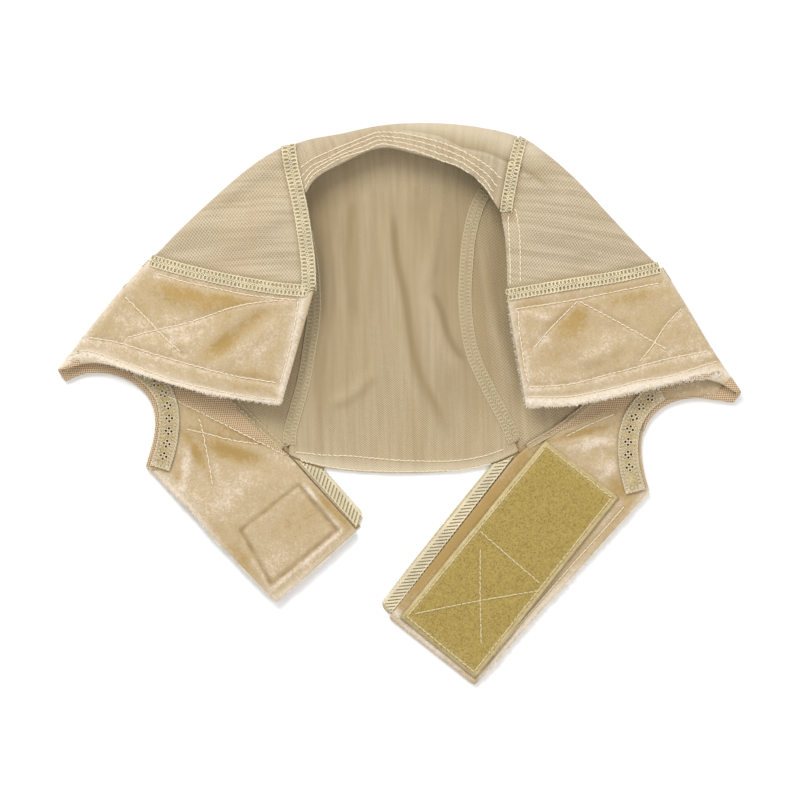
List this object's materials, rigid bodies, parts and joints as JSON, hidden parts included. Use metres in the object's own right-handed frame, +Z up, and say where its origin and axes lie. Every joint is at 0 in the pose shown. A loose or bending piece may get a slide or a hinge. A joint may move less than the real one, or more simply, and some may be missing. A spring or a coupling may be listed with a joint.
{
  "type": "wig grip cap",
  "caption": "Open-fronted stretch mesh wig cap with velvet grip patches and nape straps with hook-and-loop pads, lying flat on its back, front side up.",
  "frame": {"origin": "middle of the surface under the cap as it lies flat, front side up", "axes": "+X across the cap, from its right side to its left as worn; +Y from the nape straps to the crown; +Z up from the surface"},
  "size_m": [0.2998, 0.247, 0.0187],
  "materials": {
    "power_mesh": "matt knitted mesh",
    "velvet": "soft short pile",
    "elastic": "knitted, perforated",
    "edging": "overlocked thread",
    "fastener": "brushed loops"
  },
  "bodies": {
    "root": {"centre_panel": "power_mesh", "side_panel_left": "power_mesh", "side_panel_right": "power_mesh", "grip_band_left": "velvet", "grip_band_right": "velvet", "ear_lining_left": "power_mesh", "ear_lining_right": "power_mesh", "ear_elastic_left": "elastic", "ear_elastic_right": "elastic", "overlocked_edge_left": "edging", "overlocked_edge_right": "edging", "loop_pad": "fastener", "hook_pad": "fastener"}
  },
  "joints": []
}
